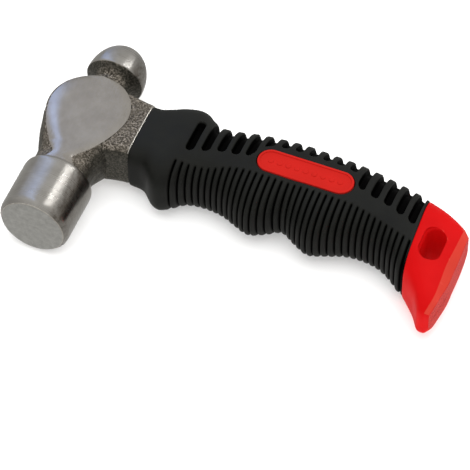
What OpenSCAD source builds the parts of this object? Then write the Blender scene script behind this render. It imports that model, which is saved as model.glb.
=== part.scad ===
// Small ball peen hammer with a moulded two-colour handle.
// Lying on its side: +X runs from the head to the butt, +Y from the striking
// face to the ball, +Z is up through the cheeks. The origin is under the middle
// of the hammer, on the surface it lies on. Millimetres.

/* [Head] */
// Overall length of the head, striking face to top of the ball
head_len = 80; // [78:1:84]
// Diameter of the poll
poll_d = 24.2; // [23:0.2:24.2]
// Diameter of the flat striking face
face_d = 19.8; // [17:0.2:21]
// Diameter of the ball
ball_d = 20.2; // [18:0.2:21]
// Distance over the two ground cheeks
cheek_w = 19.2; // [18:0.2:20]
// Radius of the round part of the cheek
cheek_r = 14; // [13.5:0.1:14.4]
// Distance from the head's centre line to the end of the skirt
skirt_x = 19.5; // [19:0.1:20]

/* [Shaft] */
// Long side of the shaft's section
shaft_a = 11.4; // [10:0.2:12]
// Short side of the shaft's section
shaft_b = 7; // [6:0.2:7.4]
// Where the shaft ends inside the handle
shaft_end = 108; // [100:1:112]

/* [Grip] */
// Thickness of the grip over its two flat sides
grip_t = 24.2; // [23:0.2:24.2]
// Number of fine grooves round the finger side
groove_n = 37; // [35:1:37]
// Spacing of the fine grooves
groove_pitch = 2.2; // [2.1:0.05:2.2]
// Width of a fine groove at the surface
groove_w = 1.1; // [0.8:0.1:1.3]
// Depth of a fine groove
groove_depth = 0.9; // [0.5:0.1:1.2]
// Spacing of the wide slots over the back
slot_pitch = 4.8; // [4.7:0.05:4.8]
// Width of a wide slot
slot_w = 2.2; // [1.8:0.1:2.4]
// Depth of a wide slot
slot_depth = 1.5; // [0.8:0.1:1.8]

/* [Badge] */
// Length of the raised pad on each side of the grip
badge_l = 33; // [30:0.5:34]
// Width of the raised pad
badge_w = 9; // [8:0.5:9]
// Height of the rim round the pad
badge_rim = 0.4; // [0.3:0.1:0.6]

/* [Butt] */
// Length of the hanging slot
hang_l = 12.2; // [12:0.1:14]
// Width of the hanging slot
hang_w = 6.8; // [6:0.1:7]
// Drop of the bevel on each side of the butt's end
butt_chamfer = 4; // [2:0.1:4.5]

/* [Hidden] */
$fn = 96;
e = 0.01;
y_ball = head_len - 45.5; // top of the ball; the striking face is at y = -45.5
y_face = -45.5;
r_poll = poll_d / 2;
hc = cheek_w / 2;
badge_z = grip_t / 2 - 0.15; // floor of the pad, inside its rim
hz_lie = max(r_poll, badge_z + badge_rim); // height of the mid-plane over the table
x_mid = 59.96; // middle of the overall length
y_mid = (y_ball + y_face) / 2;

// smooth curve through control points [position, value]
function seg(t, x, i = 0) = (i >= len(t) - 2 || x < t[i + 1][0]) ? i : seg(t, x, i + 1);
function slope(t, i) = i == 0 ? (t[1][1] - t[0][1]) / (t[1][0] - t[0][0])
  : i == len(t) - 1 ? (t[i][1] - t[i - 1][1]) / (t[i][0] - t[i - 1][0])
  : (t[i + 1][1] - t[i - 1][1]) / (t[i + 1][0] - t[i - 1][0]);
function crv(t, x0) = let (x = min(max(x0, t[0][0]), t[len(t) - 1][0]), i = seg(t, x), h = t[i + 1][0] - t[i][0], u = (x - t[i][0]) / h)
  (2 * u * u * u - 3 * u * u + 1) * t[i][1] + (u * u * u - 2 * u * u + u) * h * slope(t, i)
  + (3 * u * u - 2 * u * u * u) * t[i + 1][1] + (u * u * u - u * u) * h * slope(t, i + 1);
function sgn(v) = v < 0 ? -1 : 1;
function lerp(a, b, u) = a + (b - a) * u;

// outline of the handle seen from the side: palm side, then finger side
back_pts = [[19.5, 11], [24, 12], [29, 14.6], [34.5, 16], [39, 14], [44, 11.5], [50, 12.3], [58, 14.5],
  [66, 15.5], [76, 15.5], [88, 15], [98, 13.3], [108, 11], [118, 8.4], [125, 5.7], [129.5, 3.4], [132, 1.8], [134.5, 0]];
front_pts = [[19.5, -12.9], [25, -13.6], [29.5, -18], [32.5, -19.3], [36, -17.6], [40, -14.6], [46, -13.6], [53, -14.7],
  [58, -17], [63.5, -19], [68, -17.2], [73.5, -14], [79, -17], [84.5, -19.5], [90, -17.7], [96, -15.2], [102, -14.7],
  [108, -15.8], [113, -18.7], [118, -23], [125, -30], [128.5, -32.9], [131.8, -34.3], [134.5, -33.3]];
// half the thickness, and how square the section is
thick_pts = [[19.5, 9.5 / 12.1], [26, 10.8 / 12.1], [36, 1], [60, 1], [104, 1], [112, 11.9 / 12.1], [118, 11.1 / 12.1], [126, 9 / 12.1], [133, 6.9 / 12.1]];
square_pts = [[19.5, 5], [28, 4], [36, 3.1], [44, 2.7], [100, 2.7], [118, 3.3], [126, 5], [134, 6]];
// where the palm-side slots stop and the finger grooves start, on the flat side
slot_end_pts = [[30, -6.5], [38.3, -5.4], [48, -2.4], [57.5, 0], [62, 6.4], [76, 7.6], [91, 6.8], [95, 0.8], [105, -2.4], [120, -7.6]];
groove_end_pts = [[30, -12.4], [36, -11.8], [46, -10.6], [54, -7.4], [60, -6.3], [95, -6.5], [103, -8.2], [120, -13.6]];
function yb(x) = crv(back_pts, x);
function yf(x) = crv(front_pts, x);
function hz(x) = crv(thick_pts, x) * grip_t / 2;
function yc(x) = (yb(x) + yf(x)) / 2;
function hy(x) = (yb(x) - yf(x)) / 2;
// parameter angle of a height on the section, 0 at the palm side and 180 at the finger side
function par(x, y) = let (u = (y - yc(x)) / hy(x), n = crv(square_pts, x)) acos(sgn(u) * pow(min(1, abs(u)), n / 2));
function sect(x, a, d = 0) = let (n = crv(square_pts, x), c = cos(a), s = sin(a))
  [yc(x) + (hy(x) - d) * sgn(c) * pow(abs(c), 2 / n), (hz(x) - d) * sgn(s) * pow(abs(s), 2 / n)];

module place() translate([-x_mid, -y_mid, hz_lie]) children();
module along_x(x0, x1) translate([x0, 0, 0]) rotate([90, 0, 90]) linear_extrude(x1 - x0) children();
module about_y() rotate([-90, 0, 0]) rotate_extrude() children();
// a slot outline: length a along its own X, width b, ends of radius r
module slot2d(a, b, r) {
  square([a - 2 * r, b], center = true);
  square([a, b - 2 * r], center = true);
  for (i = [-1, 1], j = [-1, 1]) translate([i * (a / 2 - r), j * (b / 2 - r)]) circle(r);
}
module stadium(a, b) {
  square([a - b, b], center = true);
  for (i = [-1, 1]) translate([i * (a - b) / 2, 0]) circle(b / 2);
}
// closed skin over rings that all have the same number of points; tip is a middle point for the last ring's end
module skin(rings, tip = []) {
  n = len(rings[0]);
  m = len(rings);
  pts = [for (r = rings) for (p = r) p];
  last = (m - 1) * n;
  polyhedron(points = len(tip) == 3 ? concat(pts, [tip]) : pts, faces = concat(
    [[for (i = [0 : n - 1]) i]],
    [for (k = [0 : m - 2], i = [0 : n - 1]) let (a = k * n + i, b = k * n + (i + 1) % n) each [[a, a + n, b], [b, a + n, b + n]]],
    len(tip) == 3 ? [for (i = [0 : n - 1]) [last + (i + 1) % n, last + i, m * n]] : [[for (i = [n - 1 : -1 : 0]) last + i]]), convexity = 10);
}

// ---------- head ----------
cheek_c = 0.5; // centre of the round part of the cheek, along the head
// half-width of the ground cheek and of the block at mid-thickness, along the head
cheek_pts = [[-23.6, 5.6], [-22.4, 4.4], [-20.5, 3.6], [-18.8, 4.6], [-16.8, 6.4], [-13.6, 8.8], [-10.1, 10.9], [-6, 12.7], [-2, 13.8]];
block_pts = [[-23.6, 10.4], [-21, 10.1], [-18.5, 10.2], [-16, 11.1], [-13, 12.1], [-10, 13], [-6, 13.8], [-2, 14.3]];
// how far the flank has come in from the block to the cheek, by height as a share of the half-thickness
flank_pts = [[0, 0], [0.48, 0.1], [0.77, 0.38], [0.93, 0.74], [1, 1]];
function rnd(y, r) = sqrt(max(0.01, r * r - (y - cheek_c) * (y - cheek_c)));
function cheek_x(y) = y < -2 ? crv(cheek_pts, y) * cheek_r / 14 : rnd(y, cheek_r);
function block_x(y) = y < -2 ? crv(block_pts, y) : rnd(y, cheek_r + 0.45);
flank_z = [1, 0.93, 0.86, 0.77, 0.64, 0.48, 0.32, 0.16, 0];
function quarter(y) = concat([for (u = [0, 0.35, 0.7]) [u * cheek_x(y), hc]],
  [for (q = flank_z) [lerp(block_x(y), cheek_x(y), crv(flank_pts, q)), q * hc]]);
function around(y, q) = let (n = len(q) - 1) concat([for (i = [0 : n]) [q[i][0], y, q[i][1]]], [for (i = [n - 1 : -1 : 0]) [q[i][0], y, -q[i][1]]],
  [for (i = [1 : n]) [-q[i][0], y, -q[i][1]]], [for (i = [n - 1 : -1 : 1]) [-q[i][0], y, q[i][1]]]);
// a round ring of the poll, with its points in line with the block's
poll_a = [for (p = quarter(-23.6)) atan2(p[0], p[1])];
function poll_ring(y, r) = around(y, [for (a = poll_a) [r * sin(a), r * cos(a)]]);
module poll_and_block() skin(concat(
  [for (q = [[y_face, face_d / 2], [y_face + 0.25, face_d / 2 + 0.6], [y_face + 1.6, r_poll - 0.5], [y_face + 2.2, r_poll - 0.12], [y_face + 3, r_poll],
    [-26, r_poll], [-25, r_poll - 0.2], [-24.4, r_poll - 0.6], [-24, 11]]) poll_ring(q[0], q[1])],
  [for (y = concat([for (y = [-23.6 : 1.2 : -2.1]) y], [for (a = [-8 : 8 : 80]) cheek_c + cheek_r * sin(a)], [14.42])) around(y, quarter(y))]), [0, 14.42, 0]);

// ball: polished dome over a rough underside and a short neck
dome_h = y_ball - 21.4;
module pein() about_y() polygon(concat([[0, 10], [8.4, 10], [8, 14], [7.1, 15.6], [6.6, 17], [6.6, 18], [7.2, 19.2], [8.4, 20.2], [9.7, 20.9]],
  [for (a = [0 : 7.5 : 82.5]) [ball_d / 2 * pow(cos(a), 0.92), 21.4 + dome_h * sin(a)]], [[0, y_ball]]));
// skirt towards the handle, narrowing to its mouth
module skirt() skin([for (q = [[3, 13.5, 9.3], [7, 13.3, 9.3], [11, 12.9, 9.25], [14, 12.3, 9.15], [17, 11.8, 9.05], [skirt_x - 0.4, 11.6, 9], [skirt_x, 11.3, 8.7]])
  [for (a = [0 : 9 : 351]) let (c = cos(a), s = sin(a)) [q[0], -0.5 + q[1] * sgn(c) * pow(abs(c), 0.34), q[2] * sgn(s) * pow(abs(s), 0.34)]]]);

module head() color([0.60, 0.60, 0.60]) place() difference() {
  union() {
    poll_and_block();
    pein();
    skirt();
  }
  // eye, with a flare at the top of the head
  along_x(-20, skirt_x + 1) stadium(shaft_a + 2, shaft_b + 2);
  along_x(-20, -12) stadium(shaft_a + 3.6, shaft_b + 3.6);
}

// ---------- shaft and resin ----------
module shaft_core() color([0.82, 0.78, 0.60]) place() along_x(-12.6, shaft_end) stadium(shaft_a, shaft_b);
module eye_resin() color([0.25, 0.22, 0.18]) place() difference() {
  union() {
    along_x(-11.9, skirt_x - 1) stadium(shaft_a + 2, shaft_b + 2);
    along_x(-13.2, -12) stadium(shaft_a + 3.6, shaft_b + 3.6);
    along_x(-12.05, -11.8) stadium(shaft_a + 2, shaft_b + 2);
  }
  along_x(-12.6, 30) stadium(shaft_a, shaft_b);
}

// ---------- handle body ----------
x_body = 33; // start of the hard body
x_bound = 118; // joint of the grip and the butt, on the centre line
core_z = 7; // half thickness of the hard body under the grip
core_in = 5.2; // rubber thickness over its edges
function joint_dx(y) = -0.06 * (y + 8);
function end_dx(y) = -0.0028 * (y + 5) * (y + 5);
module core2d() polygon(concat([for (x = [x_body : 3 : x_bound]) [x, yb(x) - core_in]], [[x_bound, yb(x_bound) - core_in], [x_bound, yf(x_bound) + core_in]],
  [for (x = [x_bound - 2 : -3 : x_body]) [x, yf(x) + core_in]]));
module core() {
  translate([0, 0, -core_z]) linear_extrude(2 * core_z) core2d();
  // spigot that ties the butt to the body
  translate([x_bound - 1, yf(x_bound) + core_in, -core_z]) cube([4, yb(x_bound) - yf(x_bound) - 2 * core_in, 2 * core_z]);
}
badge_x = 76.8;
module badge_solid(z1) translate([badge_x, 0.05, 0]) linear_extrude(z1) stadium(badge_l, badge_w);
module badge() difference() {
  badge_solid(badge_z + badge_rim);
  translate([badge_x, 0.05, badge_z]) linear_extrude(2) stadium(badge_l - 1.8, badge_w - 1.8);
}
// small round studs in place of lettering
module badge_studs() for (i = [-4 : 4]) translate([badge_x + 3 * i, 0.05, badge_z - 1]) cylinder(r = 0.9, h = 1.25);
butt_a = [for (i = [0 : 39]) i * 9];
function butt_ring(x, dy, dz, k) = [for (a = butt_a) let (p = sect(x, a), y = yc(x) + (p[0] - yc(x)) * (1 - dy / hy(x)), z = p[1] * (1 - dz / hz(x)))
  [x + lerp(joint_dx(y), end_dx(y), k), y, z]];
module butt() skin(concat([for (x = [x_bound, 120, 122.5, 125, 127, 129, 130.5]) butt_ring(x, 0, 0, (x - x_bound) / 13)],
  [butt_ring(132.1, 0, 0, 1), butt_ring(132.5, 0.12, 0.2, 1), butt_ring(133.8, 0.9, 0.2 + butt_chamfer, 1), butt_ring(134.15, 1.5, 0.9 + butt_chamfer, 1), butt_ring(134.3, 3, 1.6 + butt_chamfer, 1)]));
module handle_body() color([0.82, 0.10, 0.09]) place() difference() {
  union() {
    core();
    for (s = [0, 1]) mirror([0, 0, s]) { badge(); badge_studs(); }
    butt();
  }
  along_x(x_body - 1, shaft_end) stadium(shaft_a, shaft_b);
  translate([124.5, -10.1, -20]) linear_extrude(40) slot2d(hang_w, hang_l, 3.2);
}

// ---------- grip sleeve ----------
groove_x0 = 35.8; // first fine groove
slot_x0 = 38.4; // first wide slot
// stations along the grip as [x, groove depth here, slot depth here]
function gd(x) = let (k = round((x - groove_x0) / groove_pitch), d = abs(x - groove_x0 - k * groove_pitch))
  (k < 0 || k >= groove_n) ? 0 : max(0, 1 - 2 * d / groove_w) * groove_depth;
function sd(x) = let (k = round((x - slot_x0) / slot_pitch), d = abs(x - slot_x0 - k * slot_pitch))
  (k < 0 || k >= 17) ? 0 : d > slot_w / 2 ? 0 : min(1, (slot_w / 2 - d) / 0.35) * slot_depth;
st_all = concat([19.5, 21, 23, 25, 27, 28.5, 30, 31.5, 33, 34.5], [116.6, 118],
  [for (k = [0 : groove_n - 1], j = [-0.5, 0, 0.5]) groove_x0 + k * groove_pitch + j * groove_w],
  [for (k = [0 : 16], j = [-0.5 * slot_w, 0.35 - 0.5 * slot_w, 0.5 * slot_w - 0.35, 0.5 * slot_w]) slot_x0 + k * slot_pitch + j]);
function sorted(v) = len(v) <= 1 ? v : let (p = v[floor(len(v) / 2)])
  concat(sorted([for (x = v) if (x < p) x]), [for (x = v) if (x == p) x], sorted([for (x = v) if (x > p) x]));
st_sort = sorted(st_all);
// stations closer than a sixth of a millimetre are merged
st = [for (i = [0 : len(st_sort) - 1]) if (i == 0 || st_sort[i] - st_sort[i - 1] > 0.16) st_sort[i]];
function half_ring(x) = let (as = par(x, crv(slot_end_pts, x)), ag = par(x, crv(groove_end_pts, x)), g = gd(x), s = sd(x),
    d1 = 7, d2 = 6)
  concat([for (u = [0, 0.3, 0.6, 1]) [u * (as - d1), s]], [[as, 0], [ag, 0]], [for (u = [0, 0.18, 0.36, 0.56, 0.78, 1]) [lerp(ag + d2, 180, u), g]]);
function ring(x) = let (h = half_ring(x), n = len(h), dx = x > 116 ? (x - 116) / 2 : 0)
  [for (i = [0 : 2 * n - 3]) let (q = i < n ? h[i] : h[2 * n - 2 - i], p = sect(x, q[0], q[1]), y = p[0], z = i < n ? p[1] : -p[1])
    [x + dx * joint_dx(y), y, z]];
module sleeve_solid() skin([for (x = st) ring(x)]);
module grip_sleeve() color([0.10, 0.10, 0.10]) place() difference() {
  sleeve_solid();
  core();
  along_x(10, 60) stadium(shaft_a, shaft_b);
  for (s = [0, 1]) mirror([0, 0, s]) badge_solid(20);
}

head();
shaft_core();
eye_resin();
handle_body();
grip_sleeve();
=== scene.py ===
import bpy, bmesh, math
import numpy as np
from mathutils import Matrix, Vector


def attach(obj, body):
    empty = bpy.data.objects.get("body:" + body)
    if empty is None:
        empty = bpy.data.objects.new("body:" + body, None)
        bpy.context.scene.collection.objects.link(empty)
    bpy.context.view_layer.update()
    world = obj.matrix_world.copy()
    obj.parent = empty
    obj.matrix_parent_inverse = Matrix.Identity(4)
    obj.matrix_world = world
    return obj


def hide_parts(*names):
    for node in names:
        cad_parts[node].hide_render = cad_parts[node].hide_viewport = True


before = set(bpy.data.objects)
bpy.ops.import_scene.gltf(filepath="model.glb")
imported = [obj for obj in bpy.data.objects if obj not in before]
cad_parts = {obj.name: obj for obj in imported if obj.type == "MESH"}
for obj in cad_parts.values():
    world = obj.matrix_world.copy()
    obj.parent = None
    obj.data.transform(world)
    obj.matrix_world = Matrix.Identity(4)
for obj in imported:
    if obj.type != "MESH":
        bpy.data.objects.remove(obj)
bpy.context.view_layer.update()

# hammer axes (X along the handle from the head, Y towards the ball, Z up, mm) to the row frame (m)
OFF = np.array([-59.96, 5.5, 12.35])
MID = 0.01235


# ------------------------------------------------------------------ helpers
def crv(t, x):
    """Smooth curve through control points, the same one the CAD uses."""
    t = np.array(t, float)
    X, V = t[:, 0], t[:, 1]
    s = np.empty(len(X))
    s[0] = (V[1] - V[0]) / (X[1] - X[0])
    s[-1] = (V[-1] - V[-2]) / (X[-1] - X[-2])
    s[1:-1] = (V[2:] - V[:-2]) / (X[2:] - X[:-2])
    x = np.clip(np.asarray(x, float), X[0], X[-1])
    i = np.clip(np.searchsorted(X, x, side="right") - 1, 0, len(X) - 2)
    h = X[i + 1] - X[i]
    u = (x - X[i]) / h
    return ((2 * u**3 - 3 * u**2 + 1) * V[i] + (u**3 - 2 * u**2 + u) * h * s[i]
            + (3 * u**2 - 2 * u**3) * V[i + 1] + (u**3 - u**2) * h * s[i + 1])


def sstep(a, b, x):
    u = np.clip((np.asarray(x, float) - a) / (b - a), 0, 1)
    return u * u * (3 - 2 * u)


_rng = np.random.default_rng(7)
_lat = _rng.random((32, 32, 32))


def noise3(p, scale):
    """Value noise, -1 to 1, at points p (mm), one lattice cell per `scale` mm."""
    q = np.asarray(p) / scale + 100.0
    i = np.floor(q).astype(int)
    f = q - i
    f = f * f * (3 - 2 * f)
    out = np.zeros(len(q))
    for dx in (0, 1):
        for dy in (0, 1):
            for dz in (0, 1):
                w = (f[:, 0] if dx else 1 - f[:, 0]) * (f[:, 1] if dy else 1 - f[:, 1]) * (f[:, 2] if dz else 1 - f[:, 2])
                out += w * _lat[(i[:, 0] + dx) % 32, (i[:, 1] + dy) % 32, (i[:, 2] + dz) % 32]
    return out * 2 - 1


def to_row(p):
    return (np.asarray(p, float) + OFF) / 1000.0


def mesh_obj(name, verts, faces, smooth_deg=35):
    me = bpy.data.meshes.new(name)
    me.from_pydata([tuple(v) for v in to_row(verts)], [], [tuple(int(i) for i in f) for f in faces])
    bm = bmesh.new()
    bm.from_mesh(me)
    bmesh.ops.remove_doubles(bm, verts=bm.verts, dist=2e-7)
    bmesh.ops.recalc_face_normals(bm, faces=bm.faces)
    bm.to_mesh(me)
    bm.free()
    ob = bpy.data.objects.new(name, me)
    bpy.context.scene.collection.objects.link(ob)
    finish_smooth(ob, smooth_deg)
    return ob


def finish_smooth(ob, deg):
    me = ob.data
    me.shade_smooth()
    me.set_sharp_from_angle(angle=math.radians(deg))


def grid(rings, cap0=True, cap1=True):
    """Closed skin over rings (m, n, 3): quads and a fan at each end."""
    rings = np.asarray(rings, float)
    m, n = rings.shape[:2]
    v = rings.reshape(-1, 3)
    k, i = np.meshgrid(np.arange(m - 1), np.arange(n), indexing="ij")
    a = k * n + i
    b = k * n + (i + 1) % n
    f = [tuple(q) for q in np.stack([a, a + n, b + n, b], -1).reshape(-1, 4)]
    if cap0:
        f.append(tuple(range(n)))
    if cap1:
        f.append(tuple((m - 1) * n + j for j in range(n - 1, -1, -1)))
    return v, f


def revolve_y(profile, n=144):
    """Closed solid of revolution about the head's axis; profile is [r, y] with r = 0 at both ends."""
    p = np.array(profile, float)
    a = np.arange(n) * 2 * np.pi / n
    body = p[1:-1]
    rings = np.stack([np.outer(body[:, 0], np.sin(a)), np.repeat(body[:, 1:2], n, 1), np.outer(body[:, 0], np.cos(a))], -1)
    v, f = grid(rings, False, False)
    v = np.vstack([v, [[0, p[0, 1], 0], [0, p[-1, 1], 0]]])
    m = len(body)
    c0, c1 = m * n, m * n + 1
    f += [(c0, (j + 1) % n, j) for j in range(n)]
    f += [(c1, (m - 1) * n + j, (m - 1) * n + (j + 1) % n) for j in range(n)]
    return v, f


def boolean(ob, other, op, keep=False):
    m = ob.modifiers.new("b", "BOOLEAN")
    m.operation = op
    m.object = other
    m.solver = "MANIFOLD"
    dg = bpy.context.evaluated_depsgraph_get()
    me = bpy.data.meshes.new_from_object(ob.evaluated_get(dg))
    ob.modifiers.clear()
    old = ob.data
    ob.data = me
    bpy.data.meshes.remove(old)
    if not keep:
        bpy.data.objects.remove(other)


def clean(ob, dist=2e-6):
    """Merges the slivers that a cut leaves, and keeps the skin closed."""
    bm = bmesh.new()
    bm.from_mesh(ob.data)
    bmesh.ops.remove_doubles(bm, verts=bm.verts, dist=dist)
    bmesh.ops.dissolve_degenerate(bm, dist=1e-6, edges=bm.edges)
    open_edges = sum(1 for e in bm.edges if len(e.link_faces) != 2)
    bm.to_mesh(ob.data)
    bm.free()
    print("MESH", ob.name, len(ob.data.polygons), "faces, edges not shared by two:", open_edges)


def slot_outline(a, b, r, n=10):
    """Rounded outline, a along X and b along Y, corner radius r."""
    pts = []
    for cx, cy, s in ((1, 1, 0), (-1, 1, 90), (-1, -1, 180), (1, -1, 270)):
        for k in range(n + 1):
            t = math.radians(s + 90 * k / n)
            pts.append((cx * (a / 2 - r) + r * math.cos(t), cy * (b / 2 - r) + r * math.sin(t)))
    out = [pts[0]]
    for p in pts[1:]:
        if math.hypot(p[0] - out[-1][0], p[1] - out[-1][1]) > 1e-6:
            out.append(p)
    if math.hypot(out[0][0] - out[-1][0], out[0][1] - out[-1][1]) < 1e-6:
        out.pop()
    return np.array(out)


def prism(name, outline, levels, cx, cy):
    """Prism along Z over an outline; levels are [z, outward offset]."""
    o = np.asarray(outline)
    nx = np.roll(o, -1, 0) - np.roll(o, 1, 0)
    nrm = np.stack([nx[:, 1], -nx[:, 0]], -1) / np.linalg.norm(nx, axis=1)[:, None]
    rings = [np.column_stack([o[:, 0] + d * nrm[:, 0] + cx, o[:, 1] + d * nrm[:, 1] + cy, np.full(len(o), z)]) for z, d in levels]
    v, f = grid(rings)
    return mesh_obj(name, v, f)


# ------------------------------------------------------------------ node materials
def new_mat(name):
    m = bpy.data.materials.new(name)
    m.use_nodes = True
    nt = m.node_tree
    nt.nodes.clear()
    out = nt.nodes.new("ShaderNodeOutputMaterial")
    b = nt.nodes.new("ShaderNodeBsdfPrincipled")
    nt.links.new(b.outputs[0], out.inputs[0])
    tc = nt.nodes.new("ShaderNodeTexCoord")
    return m, nt, b, tc.outputs["Object"]


def mapping(nt, vec, scale, rot=(0, 0, 0)):
    n = nt.nodes.new("ShaderNodeMapping")
    n.inputs["Scale"].default_value = scale
    n.inputs["Rotation"].default_value = rot
    nt.links.new(vec, n.inputs["Vector"])
    return n.outputs[0]


def noise(nt, vec, per_mm, detail=3, rough=0.55, dist=0.0):
    n = nt.nodes.new("ShaderNodeTexNoise")
    n.inputs["Scale"].default_value = per_mm * 1000
    n.inputs["Detail"].default_value = detail
    n.inputs["Roughness"].default_value = rough
    n.inputs["Distortion"].default_value = dist
    nt.links.new(vec, n.inputs["Vector"])
    return n.outputs["Fac"]


def ramp(nt, fac, stops, mode="LINEAR"):
    n = nt.nodes.new("ShaderNodeValToRGB")
    n.color_ramp.interpolation = mode
    e = n.color_ramp.elements
    while len(e) < len(stops):
        e.new(0.5)
    for el, (p, c) in zip(e, stops):
        el.position = p
        el.color = (c[0], c[1], c[2], 1) if hasattr(c, "__len__") else (c, c, c, 1)
    nt.links.new(fac, n.inputs["Fac"])
    return n.outputs["Color"]


def math_n(nt, op, a, b=None, clamp=False):
    n = nt.nodes.new("ShaderNodeMath")
    n.operation = op
    n.use_clamp = clamp
    for k, v in enumerate((a, b)):
        if v is None:
            continue
        if isinstance(v, (int, float)):
            n.inputs[k].default_value = v
        else:
            nt.links.new(v, n.inputs[k])
    return n.outputs[0]


def mix(nt, fac, a, b, mode="MIX"):
    n = nt.nodes.new("ShaderNodeMix")
    n.data_type = "RGBA"
    n.blend_type = mode
    for sock, v in ((n.inputs["Factor"], fac), (n.inputs["A"], a), (n.inputs["B"], b)):
        if hasattr(v, "is_linked") or hasattr(v, "node"):
            nt.links.new(v, sock)
        elif hasattr(v, "__len__"):
            sock.default_value = (v[0], v[1], v[2], 1)
        else:
            sock.default_value = v if sock.type == "VALUE" else (v, v, v, 1)
    return n.outputs["Result"]


def bump(nt, b, height, strength, dist_mm, chain=None):
    n = nt.nodes.new("ShaderNodeBump")
    n.inputs["Strength"].default_value = strength
    n.inputs["Distance"].default_value = dist_mm / 1000
    nt.links.new(height, n.inputs["Height"])
    if chain is not None:
        nt.links.new(chain, n.inputs["Normal"])
    nt.links.new(n.outputs[0], b.inputs["Normal"])
    return n.outputs[0]


# Mask of convex edges from pointiness. Lightening by it is painted highlight on the rubber and the red plastic, and
# worn scale with painted highlight on the forged steel.
def edge_wear_and_sheen(nt, lo=0.52, hi=0.6):
    g = nt.nodes.new("ShaderNodeNewGeometry")
    return ramp(nt, g.outputs["Pointiness"], [(lo, 0.0), (hi, 1.0)])


def axis_of(nt, vec, k):
    n = nt.nodes.new("ShaderNodeSeparateXYZ")
    nt.links.new(vec, n.inputs[0])
    return n.outputs[k]


def steel_ground():
    """Cheeks: ground flat, fine straight scratches."""
    m, nt, b, v = new_mat("steel_ground")
    fine = noise(nt, mapping(nt, v, (5.5, 0.35, 1), (0, 0, 0.42)), 1.0, 3, 0.6)
    cloud = noise(nt, v, 0.16, 3, 0.55)
    col = ramp(nt, cloud, [(0.3, (0.335, 0.31, 0.28)), (0.7, (0.42, 0.395, 0.36))])
    col = mix(nt, ramp(nt, fine, [(0.35, 0.0), (0.65, 0.4)]), col, (0.48, 0.455, 0.42))
    nt.links.new(col, b.inputs["Base Color"])
    b.inputs["Metallic"].default_value = 1.0
    nt.links.new(math_n(nt, "ADD", math_n(nt, "MULTIPLY", fine, 0.14), 0.17), b.inputs["Roughness"])
    bump(nt, b, fine, 0.10, 0.05)
    return m


def steel_turned():
    """Poll and ball: turned and polished, faint rings round the axis."""
    m, nt, b, v = new_mat("steel_turned")
    ring = noise(nt, mapping(nt, v, (0.02, 2.0, 0.02)), 1.0, 2, 0.5)
    cloud = noise(nt, v, 0.22, 3, 0.6)
    col = ramp(nt, cloud, [(0.3, (0.37, 0.355, 0.33)), (0.72, (0.48, 0.465, 0.44))])
    # painted dark reflection: a brown-dark band on the side towards the handle, broken into patches by noise
    t = math_n(nt, "MULTIPLY", math_n(nt, "ADD", axis_of(nt, v, 0), 0.05996), 50.0)
    dark_band_patches = ramp(nt, noise(nt, mapping(nt, v, (1, 0.5, 1)), 0.75, 5, 0.72), [(0.42, 0.15), (0.60, 1.0)])
    painted_dark_band = math_n(nt, "MULTIPLY", ramp(nt, t, [(0.26, 0.0), (0.40, 0.75), (0.52, 0.65), (0.60, 0.15)]), dark_band_patches)
    col = mix(nt, painted_dark_band, col, (0.13, 0.11, 0.09))
    nt.links.new(col, b.inputs["Base Color"])
    b.inputs["Metallic"].default_value = 1.0
    # the turning marks draw the highlights out along the axis
    wob = nt.nodes.new("ShaderNodeVectorMath")
    wob.operation = "MULTIPLY_ADD"
    cmb = nt.nodes.new("ShaderNodeCombineXYZ")
    for k in range(3):
        nt.links.new(cloud, cmb.inputs[k])
    nt.links.new(cmb.outputs[0], wob.inputs[0])
    wob.inputs[1].default_value = (0.06, 0.0, 0.06)
    wob.inputs[2].default_value = (-0.03, 1.0, -0.03)
    nt.links.new(wob.outputs[0], b.inputs["Tangent"])
    b.inputs["Anisotropic"].default_value = 0.82
    nt.links.new(math_n(nt, "ADD", math_n(nt, "MULTIPLY", ring, 0.12), 0.23), b.inputs["Roughness"])
    bump(nt, b, ring, 0.05, 0.04)
    return m


def steel_face():
    """Striking face: lapped, faint mottling."""
    m, nt, b, v = new_mat("steel_face")
    mott = noise(nt, mapping(nt, v, (1, 1, 1)), 0.5, 5, 0.65)
    cloud = noise(nt, v, 0.12, 2, 0.5)
    col = ramp(nt, mott, [(0.35, (0.44, 0.435, 0.415)), (0.68, (0.62, 0.615, 0.59))])
    col = mix(nt, ramp(nt, cloud, [(0.4, 0.0), (0.65, 0.35)]), col, (0.52, 0.52, 0.50))
    nt.links.new(col, b.inputs["Base Color"])
    b.inputs["Metallic"].default_value = 1.0
    nt.links.new(math_n(nt, "ADD", math_n(nt, "MULTIPLY", mott, 0.2), 0.30), b.inputs["Roughness"])
    bump(nt, b, mott, 0.12, 0.06)
    return m


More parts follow.
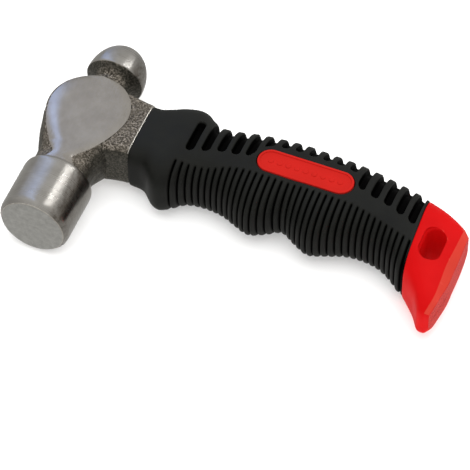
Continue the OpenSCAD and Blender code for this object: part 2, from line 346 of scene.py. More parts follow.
def steel_forged():
    """As-forged skin: dark scale with worn bright speckles."""
    m, nt, b, v = new_mat("steel_forged")
    sp = noise(nt, v, 1.5, 4, 0.75)
    big = noise(nt, v, 0.28, 3, 0.6)
    col = ramp(nt, sp, [(0.38, (0.018, 0.015, 0.011)), (0.50, (0.10, 0.085, 0.065)), (0.61, (0.46, 0.41, 0.35))])
    col = mix(nt, ramp(nt, big, [(0.38, 0.0), (0.66, 0.5)]), col, (0.17, 0.15, 0.12))
    # the sides are duller and darker than the skin beside the cheeks
    g = nt.nodes.new("ShaderNodeNewGeometry")
    up = math_n(nt, "ABSOLUTE", axis_of(nt, g.outputs["Normal"], 2))
    dull = mix(nt, ramp(nt, sp, [(0.40, 0.0), (0.62, 1.0)]), (0.022, 0.022, 0.017), (0.095, 0.090, 0.072))
    col = mix(nt, ramp(nt, up, [(0.45, 0.85), (0.80, 0.0)]), col, dull)
    # lighter on sharp edges and corners: worn scale, with painted highlight along the corners
    col = mix(nt, math_n(nt, "MULTIPLY", edge_wear_and_sheen(nt, 0.53, 0.60), 0.55), col, (0.48, 0.45, 0.40))
    nt.links.new(col, b.inputs["Base Color"])
    b.inputs["Metallic"].default_value = 0.6
    nt.links.new(math_n(nt, "ADD", math_n(nt, "MULTIPLY", sp, 0.35), 0.30), b.inputs["Roughness"])
    bump(nt, b, sp, 0.55, 0.16)
    return m


def steel_edge():
    """Freshly machined edges."""
    m, nt, b, v = new_mat("steel_edge")
    n = noise(nt, v, 0.9, 3, 0.6)
    nt.links.new(ramp(nt, n, [(0.3, (0.50, 0.47, 0.42)), (0.7, (0.74, 0.71, 0.66))]), b.inputs["Base Color"])
    b.inputs["Metallic"].default_value = 1.0
    nt.links.new(math_n(nt, "ADD", math_n(nt, "MULTIPLY", n, 0.2), 0.28), b.inputs["Roughness"])
    bump(nt, b, n, 0.1, 0.04)
    return m


def rubber():
    m, nt, b, v = new_mat("black_rubber")
    fine = noise(nt, v, 3.2, 3, 0.6)
    big = noise(nt, v, 0.11, 3, 0.6)
    col = ramp(nt, big, [(0.3, (0.0062, 0.0066, 0.0056)), (0.7, (0.0112, 0.0119, 0.0100))])
    # painted highlight: convex edges and rib tops lightened to dark grey
    col = mix(nt, math_n(nt, "MULTIPLY", edge_wear_and_sheen(nt, 0.53, 0.64), 0.5), col, (0.022, 0.024, 0.021))
    # painted shade: the deeper a point lies in a groove or slot, the nearer black the colour and the weaker the
    # specular
    g = nt.nodes.new("ShaderNodeAttribute")
    g.attribute_name = "cavity"
    cav = ramp(nt, math_n(nt, "MULTIPLY", g.outputs["Fac"], 0.5), [(0.12, 0.0), (0.34, 1.0)])
    col = mix(nt, cav, col, (0.0006, 0.0006, 0.0006))
    nt.links.new(col, b.inputs["Base Color"])
    nt.links.new(ramp(nt, cav, [(0.0, 0.2), (1.0, 0.02)]), b.inputs["Specular IOR Level"])
    nt.links.new(math_n(nt, "ADD", math_n(nt, "MULTIPLY", big, 0.25), 0.42), b.inputs["Roughness"])
    bump(nt, b, fine, 0.22, 0.05)
    return m


def red_plastic(name="red_plastic", tone=1.0, rough=0.36, warm=0.0):
    m, nt, b, v = new_mat(name)
    peel = noise(nt, v, 0.55, 2, 0.5)
    cloud = noise(nt, v, 0.07, 2, 0.5)
    a = (0.66 * tone, 0.0035 + warm, 0.0045 + 0.6 * warm)
    c = (0.76 * tone, 0.006 + warm, 0.007 + 0.6 * warm)
    col = ramp(nt, cloud, [(0.3, a), (0.7, c)])
    # painted highlight: convex edges lightened to a paler red
    col = mix(nt, math_n(nt, "MULTIPLY", edge_wear_and_sheen(nt, 0.54, 0.66), 0.3), col, (0.88, 0.11, 0.08))
    nt.links.new(col, b.inputs["Base Color"])
    nt.links.new(math_n(nt, "ADD", math_n(nt, "MULTIPLY", peel, 0.14), rough), b.inputs["Roughness"])
    b.inputs["Specular IOR Level"].default_value = 0.045
    bump(nt, b, peel, 0.06, 0.08)
    return m


def red_textured():
    """Matt, spark-eroded end of the butt."""
    m, nt, b, v = new_mat("red_textured")
    gr = noise(nt, v, 2.2, 3, 0.7)
    nt.links.new(ramp(nt, gr, [(0.35, (0.42, 0.008, 0.008)), (0.64, (0.78, 0.060, 0.048))]), b.inputs["Base Color"])
    nt.links.new(math_n(nt, "ADD", math_n(nt, "MULTIPLY", gr, 0.25), 0.40), b.inputs["Roughness"])
    b.inputs["Specular IOR Level"].default_value = 0.12
    bump(nt, b, gr, 0.4, 0.08)
    return m


def fibreglass():
    m, nt, b, v = new_mat("fibreglass")
    end = noise(nt, mapping(nt, v, (0.05, 1, 1)), 2.6, 3, 0.6)
    col = ramp(nt, end, [(0.32, (0.42, 0.35, 0.19)), (0.5, (0.66, 0.60, 0.40)), (0.68, (0.80, 0.77, 0.60))])
    nt.links.new(col, b.inputs["Base Color"])
    nt.links.new(math_n(nt, "ADD", math_n(nt, "MULTIPLY", end, 0.25), 0.35), b.inputs["Roughness"])
    b.inputs["Transmission Weight"].default_value = 0.0
    bump(nt, b, end, 0.3, 0.06)
    return m


def epoxy():
    m, nt, b, v = new_mat("epoxy")
    n1 = noise(nt, v, 0.6, 4, 0.6)
    bub = nt.nodes.new("ShaderNodeTexVoronoi")
    bub.inputs["Scale"].default_value = 1400
    nt.links.new(v, bub.inputs["Vector"])
    nt.links.new(ramp(nt, n1, [(0.3, (0.035, 0.026, 0.016)), (0.7, (0.10, 0.078, 0.05))]), b.inputs["Base Color"])
    nt.links.new(math_n(nt, "ADD", math_n(nt, "MULTIPLY", n1, 0.3), 0.18), b.inputs["Roughness"])
    bump(nt, b, ramp(nt, bub.outputs["Distance"], [(0.0, 0.0), (0.25, 1.0)]), 0.25, 0.08)
    return m


# ------------------------------------------------------------------ head
Y_FACE, Y_BALL, R_POLL, HC, SKIRT_X = -45.5, 34.5, 12.1, 9.6, 19.5
CHEEK = [[-23.6, 5.6], [-22.4, 4.4], [-20.5, 3.6], [-18.8, 4.6], [-16.8, 6.4], [-13.6, 8.8], [-10.1, 10.9], [-6, 12.7], [-2, 13.8]]
BLOCK = [[-23.6, 10.4], [-21, 10.1], [-18.5, 10.2], [-16, 11.1], [-13, 12.1], [-10, 13], [-6, 13.8], [-2, 14.3]]
FLANK = [[0, 0], [0.48, 0.1], [0.77, 0.38], [0.93, 0.74], [1, 1]]


def rnd(y, r):
    return np.sqrt(np.maximum(0.01, r * r - (y - 0.5) ** 2))


def cheek_x(y):
    return np.where(y < -2, crv(CHEEK, y), rnd(y, 14.0))


def block_x(y):
    return np.where(y < -2, crv(BLOCK, y), rnd(y, 14.45))


def arc(cx, cy, r, a0, a1, n):
    return [[cx + r * math.cos(math.radians(a)), cy + r * math.sin(math.radians(a))] for a in np.linspace(a0, a1, n)]


def make_head():
    # striking end: crowned face, small rounded bevel, round poll, shoulder
    prof = [[0, Y_FACE]] + [[r, Y_FACE + 0.10 * (r / 10.5) ** 2] for r in (2, 4, 6, 8, 9.6, 10.5)]
    prof += [[10.72, Y_FACE + 0.15], [10.86, Y_FACE + 0.24], [11.0, Y_FACE + 0.40], [11.3, Y_FACE + 0.75], [11.6, Y_FACE + 1.12], [11.8, Y_FACE + 1.42],
             [11.93, Y_FACE + 1.75], [12.02, Y_FACE + 2.1], [12.07, Y_FACE + 2.5], [12.1, Y_FACE + 3.0]]
    prof += [[12.1, y] for y in np.linspace(-41, -26.2, 14)]
    prof += [[12.08, -25.6], [12.0, -25.1], [11.86, -24.7], [11.6, -24.3], [11.3, -24.03], [10.9, -23.84], [10.3, -23.7], [9.4, -23.55], [8.0, -23.3], [0, -23.3]]
    v, f = revolve_y(prof, 192)
    poll = mesh_obj("hammer_head", v, f)

    # eye block, lofted along the head; the rows run from the top cheek round to the bottom one
    ys = np.concatenate([np.linspace(-25.2, -2.2, 90), 0.5 + 14 * np.sin(np.radians(np.linspace(-10.5, 83, 60)))])
    zz = np.concatenate([np.linspace(1, 0.93, 7)[:-1], np.linspace(0.93, 0, 30)])
    cx, bx = cheek_x(np.maximum(ys, -23.6)), block_x(np.maximum(ys, -23.6))
    cx = np.where(ys < -23.6, np.minimum(cx, 5.6), cx)
    fz = crv(FLANK, zz)
    # the cheeks are ground by hand: they roll over towards their edges, more on the side away from the handle
    def half(roll, depth):
        rows = []
        drop = lambda x: depth * np.clip((x - (cx - roll)) / roll, 0, 1) ** 2
        for u in np.linspace(0, 1, 26)[:-1]:
            rows.append(np.column_stack([u * cx, ys, HC - drop(u * cx)]))
        for q, fq in zip(zz, fz):
            rows.append(np.column_stack([bx + (cx - bx) * fq, ys, q * (HC - depth)]))
        return np.stack(rows, 1)
    tail = 1 - sstep(-17, -9, ys)
    qr, ql = half(3.2, 0.24 + 0.30 * tail), half(np.minimum(6.0, 0.85 * cx), 0.78 * np.minimum(6.0, 0.85 * cx) / 6.0)
    # both halves meet on the centre line
    mid = 0.5 * (qr[:, 0, 2] + ql[:, 0, 2])
    qr[:, 0, 2] = mid
    ql[:, 0, 2] = mid
    right = np.concatenate([qr, qr[:, -2::-1] * [1, 1, -1]], 1)
    left = np.concatenate([ql, ql[:, -2::-1] * [1, 1, -1]], 1)[:, -2:0:-1] * [-1, 1, 1]
    rings = np.concatenate([right, left], 1)
    # rough forged skin on the flanks only: the cheeks stay flat
    P = rings.reshape(-1, 3)
    flat = np.abs(P[:, 2]) / HC
    amp = 0.10 * (1 - sstep(0.88, 0.93, flat)) * sstep(-24.4, -22.6, P[:, 1])
    d = 0.6 * noise3(P, 0.8) + 0.4 * noise3(P, 0.45) + 0.5 * noise3(P, 2.4)
    nx = np.sign(P[:, 0])
    P[:, 0] += amp * d * nx
    rings = P.reshape(rings.shape)
    v, f = grid(rings)
    block = mesh_obj("block", v, f)

    # ball end
    prof = [[0, 9.0], [8.6, 9.0], [8.5, 10.5], [8.25, 12.2], [7.9, 13.7], [7.35, 15.0], [6.85, 16.0], [6.58, 16.9], [6.55, 17.7], [6.75, 18.5], [7.25, 19.2],
            [8.0, 19.85], [8.9, 20.4], [9.6, 20.8], [9.93, 21.05], [10.06, 21.25]]
    dome_h = Y_BALL - 21.4
    prof += [[10.1 * math.cos(math.radians(a)) ** 0.92, 21.4 + dome_h * math.sin(math.radians(a))] for a in np.linspace(0, 87.5, 40)] + [[0, Y_BALL]]
    v, f = revolve_y(prof, 160)
    r = np.hypot(v[:, 0], v[:, 2])
    a = 0.10 * sstep(9.5, 11, v[:, 1]) * (1 - sstep(20.3, 20.9, v[:, 1]))
    dd = 1 + a * (0.6 * noise3(v, 0.9) + 0.5 * noise3(v, 2.2)) / np.maximum(r, 1)
    v[:, 0] *= dd
    v[:, 2] *= dd
    pein = mesh_obj("pein", v, f)

    # skirt towards the handle, rounded rectangle, a fine machined lip at its mouth
    st = [[3, 13.5, 9.3], [7, 13.3, 9.3], [11, 12.9, 9.25], [14, 12.3, 9.15], [17, 11.8, 9.05], [19.1, 11.6, 9.0]]
    xs = np.concatenate([np.linspace(3, 19.05, 52), [19.2, 19.36, 19.46, 19.5]])
    lip = np.concatenate([np.zeros(52), [0.02, 0.10, 0.22, 0.36]])
    t = np.linspace(0, 2 * np.pi, 1441)[:-1]
    rings = []
    for x, l in zip(xs, lip):
        hy = np.interp(x, [s[0] for s in st], [s[1] for s in st]) - l
        hz = np.interp(x, [s[0] for s in st], [s[2] for s in st]) - l
        e = 0.30
        yy = hy * np.sign(np.cos(t)) * np.abs(np.cos(t)) ** e
        z = hz * np.sign(np.sin(t)) * np.abs(np.sin(t)) ** e
        c = np.concatenate([[0], np.cumsum(np.hypot(np.diff(np.append(yy, yy[0])), np.diff(np.append(z, z[0]))))])
        s = np.linspace(0, c[-1], 261)[:-1]
        yi, zi = np.interp(s, c, np.append(yy, yy[0])), np.interp(s, c, np.append(z, z[0]))
        rings.append(np.column_stack([np.full(260, x), yi - 0.5, zi]))
    rings = np.array(rings)
    P = rings.reshape(-1, 3)
    amp = 0.075 * (1 - sstep(18.2, 19.0, P[:, 0]))
    d = 0.6 * noise3(P, 0.8) + 0.4 * noise3(P, 0.45) + 0.5 * noise3(P, 2.4)
    rr = np.column_stack([np.zeros(len(P)), P[:, 1] + 0.5, P[:, 2]])
    rr /= np.linalg.norm(rr, axis=1)[:, None]
    P += (amp * d)[:, None] * rr
    v, f = grid(P.reshape(rings.shape))
    skirt = mesh_obj("skirt", v, f)

    boolean(poll, block, "UNION")
    boolean(poll, skirt, "UNION")
    boolean(poll, pein, "UNION")

    # eye through the head, flared at the top
    def stadium(a, b, x0, x1, name):
        o = slot_outline(a, b, b / 2 - 1e-4, 16)
        ring = lambda x: np.column_stack([np.full(len(o), x), o[:, 0], o[:, 1]])
        v, f = grid([ring(x0), ring(x1)])
        return mesh_obj(name, v, f)
    boolean(poll, stadium(13.4, 9.0, -20, 21, "eye"), "DIFFERENCE")
    boolean(poll, stadium(15.0, 10.6, -20, -12, "flare"), "DIFFERENCE")
    clean(poll)

    me = poll.data
    me.materials.clear()
    for m in (steel_forged(), steel_ground(), steel_turned(), steel_face(), steel_edge()):
        me.materials.append(m)
    n = len(me.polygons)
    c = np.empty(n * 3)
    nr = np.empty(n * 3)
    me.polygons.foreach_get("center", c)
    me.polygons.foreach_get("normal", nr)
    c = c.reshape(-1, 3) * 1000 - OFF
    nr = nr.reshape(-1, 3)
    idx = np.zeros(n, int)
    rad = np.hypot(c[:, 0], c[:, 2])
    inside = (np.abs(c[:, 0]) < cheek_x(c[:, 1]) + 0.03) & (c[:, 1] > -24.2) & (c[:, 1] < 14.5)
    idx[inside & (np.abs(c[:, 2]) > 8.9) & (np.abs(nr[:, 2]) > 0.88)] = 1
    on_poll = (c[:, 1] < -23.85) & (rad > 10.2)
    idx[on_poll] = 2
    idx[(c[:, 1] > 20.95)] = 2
    idx[(c[:, 1] < Y_FACE + 0.3) & (rad < 10.95)] = 3
    idx[(c[:, 1] < Y_FACE + 0.5) & (rad >= 10.62)] = 4
    idx[(c[:, 0] > 19.08) & (np.abs(c[:, 2]) > 7.6) & (c[:, 1] > -12.6)] = 4
    me.polygons.foreach_set("material_index", idx.astype(np.int32))
    finish_smooth(poll, 28)
    return poll


# ------------------------------------------------------------------ handle sections
BACK = [[19.5, 10.9], [22.5, 10.7], [26, 12.0], [30, 14.2], [34.5, 15.6], [37.5, 15.1], [40.3, 13.2], [44, 11.5], [50, 12.3], [58, 14.5], [66, 15.5], [76, 15.5], [88, 15], [98, 13.3],
        [108, 11], [118, 8.4], [125, 5.7], [129.5, 3.4], [132, 1.8], [134.5, 0]]
FRONT = [[19.5, -12.9], [25, -13.6], [29.5, -18], [32.5, -19.3], [36, -17.6], [40, -14.6], [46, -13.6], [53, -14.7], [58, -17], [63.5, -19],
         [68, -17.2], [73.5, -14], [79, -17], [84.5, -19.5], [90, -17.7], [96, -15.2], [102, -14.7], [108, -15.8], [113, -18.7], [118, -23],
         [123.6, -28.6], [126, -31.6], [128, -33.6], [130, -34.4], [132.6, -34.3], [134.5, -33.3]]
THICK = [[19.5, 9.5 / 12.1], [26, 10.8 / 12.1], [36, 1], [60, 1], [104, 1], [112, 11.9 / 12.1], [118, 11.1 / 12.1], [126, 9 / 12.1], [133, 6.9 / 12.1]]
SQUARE = [[19.5, 5], [28, 4], [36, 3.1], [44, 2.7], [100, 2.7], [118, 3.3], [126, 5], [134, 6]]
SLOT_END = [[30, -6.5], [38.3, -5.4], [48, -2.4], [57.5, 0], [62, 6.4], [76, 7.6], [91, 6.8], [95, 0.8], [105, -2.4], [120, -7.6]]
GROOVE_END = [[30, -10.8], [36, -10.3], [46, -9.3], [54, -6.7], [60, -5.9], [95, -6.2], [103, -8.0], [120, -13.4]]
SLOTS = [38.3, 43.3, 48.2, 52.8, 57.4, 61.9, 66.7, 71.4, 76.2, 81.0, 85.7, 90.5, 95.6, 100.8, 105.7, 110.5, 115.2]
GROOVES = [35.8 + 2.2 * k for k in range(38)]


def joint_dx(y):
    return -0.06 * (y + 8)


def end_dx(y):
    return crv([[-36, -1.8], [-34, -1.0], [-31, -0.15], [-27, 0.2], [-21, -0.1], [-15, -0.42], [-5, -0.12], [3, -0.12]], y)


def unit_section(x, n):
    """n points evenly spaced along the section at x, as superellipse coordinates (C, S)."""
    yb, yf = crv(BACK, x), crv(FRONT, x)
    hy, hz, e = (yb - yf) / 2, crv(THICK, x) * 12.1, 2 / crv(SQUARE, x)
    t = np.linspace(0, 2 * np.pi, 2881)
    C = np.sign(np.cos(t)) * np.abs(np.cos(t)) ** e
    S = np.sign(np.sin(t)) * np.abs(np.sin(t)) ** e
    s = np.concatenate([[0], np.cumsum(np.hypot(hy * np.diff(C), hz * np.diff(S)))])
    q = np.linspace(0, s[-1], n + 1)[:-1]
    return (yb + yf) / 2, hy, hz, np.interp(q, s, C), np.interp(q, s, S)


def sleeve_depth(x, y, z):
    """How deep the palm slots and finger grooves are at a point of the flat surface."""
    d = np.zeros_like(y)
    ye = crv(SLOT_END, x)
    for X in SLOTS:
        if abs(x - X) > 2.4:
            continue
        yy = np.where(y < ye + 1.2, y - (ye + 1.2), 0.0)
        top = {38.3: 7.0}.get(X)
        if top is not None:  # the first stops short of the back
            yy = np.where(y > top - 1.2, y - (top - 1.2), yy)
        dist = np.hypot(x - X, yy)
        # shallower where it runs out over the back
        bk = sstep(crv(BACK, x) - 3.4, crv(BACK, x) - 0.2, y)
        d = np.maximum(d, 2.1 * (1 - bk) * sstep(1.56, 0.98, dist) + 1.2 * bk * sstep(1.72, 0.55, dist))
    yg = crv(GROOVE_END, x)
    for X in GROOVES:
        if abs(x - X) > 1.1:
            continue
        # round-topped ribs with a narrow groove between them
        u = max(0.0, (abs(x - X) / 1.1 - 0.15) / 0.85)
        d = np.maximum(d, 0.95 * (1 - math.sqrt(1 - (1 - min(u, 1.0)) ** 2.4)) * np.clip((yg - y) / 0.8, 0, 1) ** 0.5)
    return d


def make_sleeve():
    N = 240
    xs = np.unique(np.round(np.concatenate([np.arange(19.5, 34.8, 0.5), np.arange(34.7, 117.2, 0.22), np.arange(117.2, 118.01, 0.4)]), 4))
    xs[-1] = 118.0
    outer, inner = [], []
    for x in xs:
        yc, hy, hz, C, S = unit_section(x, N)
        y0, z0 = yc + hy * C, hz * S
        d = sleeve_depth(x, y0, z0)
        # a small soft lip at both ends
        lip = 0.35 * (1 - sstep(19.5, 20.0, x)) + 0.30 * sstep(117.5, 118.0, x)
        d = d + lip
        y, z = yc + (hy - d) * C, (hz - d) * S
        dx = max(0.0, (x - 116) / 2) * joint_dx(y)
        outer.append(np.column_stack([x + dx, y, z]))
        # bore: the shaft's outline first, then the hard body's
        k = float(sstep(32.0, 33.0, x))
        ang = np.arctan2(z, y - (yc if k > 0.5 else 0))
        ca, sa = np.cos(ang), np.sin(ang)
        by, bz = (hy - 5.0) * k + 5.9 * (1 - k), 7.15 * k + 3.7 * (1 - k)
        r = 1 / np.maximum(np.abs(ca) / by, np.abs(sa) / bz) * (1.0 if k > 0 else 1.0)
        iy, iz = r * ca + (yc if k > 0.5 else 0), r * sa
        inner.append(np.column_stack([x + dx * 0, iy, iz]))
    outer, inner = np.array(outer), np.array(inner)
    inner[0, :, 0] = outer[0, :, 0]
    inner[-1, :, 0] = 118.0 + joint_dx(inner[-1, :, 1])
    # outer out along X, inner back: one closed ring of rings
    m = len(xs)
    keep = np.unique(np.concatenate([[0, 1], np.searchsorted(xs, [32.0, 32.5, 33.0, 34]), np.arange(60, m - 1, 12), [m - 1]]))
    inn = inner[keep][::-1]
    rings = np.concatenate([outer, inn], 0)
    M = len(rings)
    v = rings.reshape(-1, 3)
    k, i = np.meshgrid(np.arange(M), np.arange(N), indexing="ij")
    a, b = k * N + i, k * N + (i + 1) % N
    a2, b2 = ((k + 1) % M) * N + i, ((k + 1) % M) * N + (i + 1) % N
    f = np.stack([a, a2, b2, b], -1).reshape(-1, 4)
    v = v + 0.0
    ob = mesh_obj("grip_rubber", v, f)
    # window for the red pad, with a hairline gap round it
    for s in (1, -1):
        o = slot_outline(33.5, 9.5, 4.74, 14)
        lv = [(6.0, 0.0), (11.75, 0.0), (11.95, 0.05), (12.08, 0.16), (12.2, 0.34), (14, 0.34)]
        cut = prism("cut", o, lv if s > 0 else [(-z, q) for z, q in lv[::-1]], 76.8, 0.05)
        boolean(ob, cut, "DIFFERENCE")
    clean(ob)
    # how far each point lies under the unbroken surface, for the painted shade in the grooves
    me = ob.data
    co = np.empty(len(me.vertices) * 3)
    me.vertices.foreach_get("co", co)
    p = co.reshape(-1, 3) * 1000 - OFF
    yb, yf, e = crv(BACK, p[:, 0]), crv(FRONT, p[:, 0]), crv(SQUARE, p[:, 0])
    hy, hz = (yb - yf) / 2, crv(THICK, p[:, 0]) * 12.1
    lev = (np.abs((p[:, 1] - (yb + yf) / 2) / hy) ** e + np.abs(p[:, 2] / hz) ** e) ** (1 / e)
    cav = np.clip((1 - lev) * (hy + hz) / 2, 0, 2)
    at = me.attributes.new("cavity", "FLOAT", "POINT")
    at.data.foreach_set("value", cav.astype(np.float32))
    ob.data.materials.clear()
    ob.data.materials.append(rubber())
    finish_smooth(ob, 42)
    return ob


def end_bulge(y):
    """The end face stands a little proud of the bevel's root in the middle."""
    return crv([[-36, -0.2], [-34, -0.1], [-27, 0.1], [-22, 0.95], [-18, 1.3], [-13, 1.3], [-9, 1.1], [-3, 0.7], [3, 0.3]], y)


def butt_ring(x, dy, dz, k, n=220, out=0.0):
    yc, hy, hz, C, S = unit_section(x, n)
    y, z = yc + (hy - dy) * C, (hz - dz) * S
    dx = joint_dx(y) * (1 - k) + end_dx(y) * k + end_bulge(y) * out
    return np.column_stack([x + dx, y, z])


def make_handle():
    rings = [butt_ring(118.0, 0.45, 0.45, 0), butt_ring(118.08, 0.2, 0.2, 0.0), butt_ring(118.25, 0.05, 0.05, 0.01)]
    rings += [butt_ring(x, 0, 0, (x - 118) / 13) for x in np.arange(118.6, 130.7, 0.4)]
    rings += [butt_ring(x, 0, 0, 1) for x in (131.0, 131.2)]
    # flat bevel, a fine moulding line, then the textured end
    rings += [butt_ring(x, q, d, 1, out=min(1.0, max(0.0, (x - 131.5) / 0.9))) for x, q, d in ((131.32, 0.02, 0.03), (131.44, 0.06, 0.11), (131.55, 0.12, 0.24), (131.9, 0.30, 0.62), (132.25, 0.48, 1.02),
                                                   (132.5, 0.62, 1.32), (132.54, 0.68, 1.40), (132.42, 0.76, 1.50), (132.40, 0.84, 1.62), (132.56, 0.90, 1.70), (132.6, 1.0, 1.82))]
    rings += [butt_ring(132.6, 1.0 + 0.12 * k, 1.82 + 0.8 * k, 1, out=1.0) for k in range(1, 7)]
    v, f = grid(rings)
    ob = mesh_obj("handle_red", v, f)
    # hang slot with softened rims
    o = slot_outline(6.8, 12.2, 3.2, 16)
    hz = 12.1 * crv(THICK, 124.5)
    lv = [(-14, 0.9), (-hz - 0.1, 0.55), (-hz + 0.2, 0.25), (-hz + 0.55, 0.06), (-hz + 1.0, 0.0), (hz - 1.0, 0.0), (hz - 0.55, 0.06), (hz - 0.2, 0.25), (hz + 0.1, 0.55), (14, 0.9)]
    boolean(ob, prism("slotcut", o, lv, 124.5, -10.1), "DIFFERENCE")
    # hard body under the grip
    xs = np.concatenate([np.arange(33, 118, 3.0), [118.0]])
    up = np.column_stack([xs, crv(BACK, xs) - 5.2])
    dn = np.column_stack([xs, crv(FRONT, xs) + 5.2])[::-1]
    dn = np.vstack([[121.0, dn[0, 1]], dn])
    up = np.vstack([up, [121.0, up[-1, 1]]])
    o = np.vstack([dn[::-1], up[::-1]])
    ring = lambda z: np.column_stack([o[:, 0], o[:, 1], np.full(len(o), z)])
    v, f = grid([ring(-7.0), ring(7.0)])
    core = mesh_obj("core", v, f)
    # pads with a raised rim and small studs in place of lettering
    for s in (1, -1):
        flip = (lambda l: l) if s > 0 else (lambda l: [(-z, q) for z, q in l[::-1]])
        o = slot_outline(33.0, 9.0, 4.49, 14)
        pad = prism("pad", o, flip([(5.0, 0), (12.05, 0), (12.25, -0.06), (12.33, -0.16), (12.35, -0.3)]), 76.8, 0.05)
        o2 = slot_outline(31.2, 7.2, 3.59, 14)
        boolean(pad, prism("padcut", o2, flip([(11.95, -0.12), (12.03, 0.0), (12.25, 0.06), (12.6, 0.2)]), 76.8, 0.05), "DIFFERENCE")
        for k in range(-4, 5):
            a = np.linspace(0, 2 * np.pi, 25)[:-1]
            c = np.column_stack([np.cos(a), np.sin(a)])
            boolean(pad, prism("stud", c * 0.9, flip([(10.5, 0), (11.98, 0.0), (12.04, 0.0), (12.12, -0.06), (12.18, -0.2), (12.2, -0.45)]), 76.8 + 3 * k, 0.05), "UNION")
        boolean(core, pad, "UNION")
    boolean(ob, core, "UNION")
    # bore for the shaft
    o = slot_outline(11.4, 7.0, 3.499, 16)
    ring = lambda x: np.column_stack([np.full(len(o), x), o[:, 0], o[:, 1]])
    v, f = grid([ring(30.0), ring(108.0)])
    boolean(ob, mesh_obj("bore", v, f), "DIFFERENCE")
    clean(ob)
    me = ob.data
    me.materials.clear()
    # the bevel copy is paler and pinker: painted sheen on the butt's bevel; the slot-wall copy is brighter: painted
    # light in the hang slot
    for m in (red_plastic(), red_textured(), red_plastic("red_badge", 0.97, 0.45, 0.016), red_plastic("red_bevel_painted_sheen", 1.04, 0.4, 0.05), red_plastic("red_inner_painted_light", 1.1, 0.6)):
        me.materials.append(m)
    n = len(me.polygons)
    c = np.empty(n * 3)
    nr = np.empty(n * 3)
    me.polygons.foreach_get("center", c)
    me.polygons.foreach_get("normal", nr)
    c = c.reshape(-1, 3) * 1000 - OFF
    nr = nr.reshape(-1, 3)
    idx = np.zeros(n, int)
    idx[(c[:, 0] > 129) & (nr[:, 0] > 0.93) & (np.abs(c[:, 2]) < 5.75)] = 1
    idx[(c[:, 0] < 110)] = 2
    # the butt's bevel takes the paler, pinker copy: painted sheen
    idx[(c[:, 0] > 129) & (nr[:, 0] > 0.42) & (nr[:, 0] < 0.86) & (np.abs(nr[:, 2]) > 0.3)] = 3
    # the hang slot's walls take the brighter copy: painted light
    idx[(np.abs(c[:, 0] - 124.5) < 3.6) & (np.abs(c[:, 1] + 10.1) < 6.4) & (np.abs(nr[:, 2]) < 0.25)] = 4
    me.polygons.foreach_set("material_index", idx.astype(np.int32))
    finish_smooth(ob, 38)
    return ob


# ------------------------------------------------------------------ camera
R = np.array([[0.9253530679878874, 0.37908805971250725, -0.003733972256277737],
              [0.29760016708499865, -0.7324724505696867, -0.6123056832231906],
              [-0.23485280521293544, 0.56548771174964, -0.790612299261636]])
cam_d = bpy.data.cameras.new("camera")
cam = bpy.data.objects.new("camera", cam_d)
bpy.context.scene.collection.objects.link(cam)
C = (0.2529501408278554, -0.6226254297826992, 0.8572270105375771)
cam.matrix_world = Matrix([[R[0, 0], -R[1, 0], -R[2, 0], C[0]], [R[0, 1], -R[1, 1], -R[2, 1], C[1]], [R[0, 2], -R[1, 2], -R[2, 2], C[2]], [0, 0, 0, 1]])
cam_d.sensor_width = 36
cam_d.lens = 3318.8084333899446 / 470 * 36
cam_d.clip_start = 0.05
cam_d.clip_end = 20
bpy.context.scene.camera = cam

# ------------------------------------------------------------------ pieces
head = make_head()
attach(head, "root")
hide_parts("head")

grip = make_sleeve()
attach(grip, "root")
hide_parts("grip_sleeve")

red = make_handle()
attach(red, "root")
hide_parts("handle_body")

for node, m in (("shaft_core", fibreglass()), ("eye_resin", epoxy())):
    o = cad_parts[node]
    if not o.material_slots:
        o.data.materials.append(m)
    for s in o.material_slots:
        s.material = m

# ------------------------------------------------------------------ floor, light
bm = bmesh.new()
bmesh.ops.create_grid(bm, x_segments=8, y_segments=8, size=3.0)
me = bpy.data.meshes.new("floor")
bm.to_mesh(me)
bm.free()
floor = bpy.data.objects.new("floor", me)
floor.location = (0, 0, -0.0002)
bpy.context.scene.collection.objects.link(floor)
m, nt, b, v = new_mat("floor_paint")
nt.links.new(ramp(nt, noise(nt, v, 0.004, 2, 0.5), [(0.0, (0.93, 0.93, 0.93)), (1.0, (0.95, 0.95, 0.95))]), b.inputs["Base Color"])
b.inputs["Roughness"].default_value = 0.9
b.inputs["Specular IOR Level"].default_value = 0.0
me.materials.append(m)
floor.visible_glossy = False

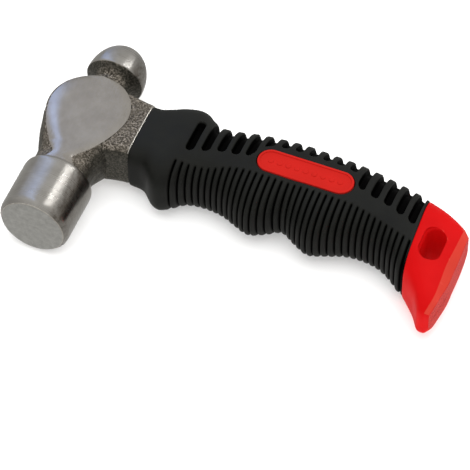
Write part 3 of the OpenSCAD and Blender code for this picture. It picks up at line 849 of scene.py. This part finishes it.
w = bpy.data.worlds.new("studio")
w.use_nodes = True
nt = w.node_tree
bg = nt.nodes["Background"]
tc = nt.nodes.new("ShaderNodeTexCoord")
g = tc.outputs["Generated"]
up = axis_of(nt, g, 2)
ex = axis_of(nt, g, 0)
# grey overhead, darker and warmer low on the right, cool and bright low on the left
base = ramp(nt, math_n(nt, "ADD", math_n(nt, "MULTIPLY", up, 0.5), 0.5),
            [(0.05, (0.58, 0.575, 0.56)), (0.45, (0.44, 0.435, 0.42)), (0.58, (0.46, 0.455, 0.445)), (0.78, (0.66, 0.65, 0.63)), (1.0, (0.72, 0.715, 0.70))])
right = ramp(nt, ex, [(0.45, 0.0), (0.70, 1.0)])
low = ramp(nt, up, [(0.18, 1.0), (0.42, 0.0)])
col = mix(nt, math_n(nt, "MULTIPLY", math_n(nt, "MULTIPLY", right, low), ramp(nt, up, [(0.0, 0.25), (0.12, 1.0)])), base, (0.25, 0.222, 0.195))
nt.links.new(col, bg.inputs["Color"])
bg.inputs["Strength"].default_value = 1.0
bpy.context.scene.world = w


def area(name, direction, dist, sx, sy, energy, color=(1, 1, 1), glossy=True, at=(0, 0, 0.01)):
    l = bpy.data.lights.new(name, "AREA")
    l.shape = "RECTANGLE"
    l.size, l.size_y = sx, sy
    l.energy = energy
    l.color = color
    o = bpy.data.objects.new(name, l)
    bpy.context.scene.collection.objects.link(o)
    d = Vector(direction).normalized()
    o.location = Vector(at) + d * dist
    o.rotation_euler = d.to_track_quat("Z", "Y").to_euler()
    o.visible_glossy = glossy
    return o


area("key", (0.43, 0.565, 0.703), 1.2, 0.03, 0.8, 2.1, at=(-0.06, 0, 0.01))
area("window", (-0.56, 0.57, 0.60), 1.2, 0.19, 1.8, 1.5, (0.30, 0.48, 1.0), at=(-0.06, 0, 0.01)).visible_diffuse = False
area("fill", (0.05, -0.15, 1.0), 1.5, 1.6, 1.6, 8.0, glossy=False)
wash = area("floor_wash", (0, 0, 1.0), 2.0, 2.5, 2.5, 42.0, glossy=False)
only = bpy.data.collections.new("floor_only")
only.objects.link(floor)
wash.light_linking.receiver_collection = only
wash.light_linking.blocker_collection = only

bpy.context.scene.view_settings.view_transform = "Standard"
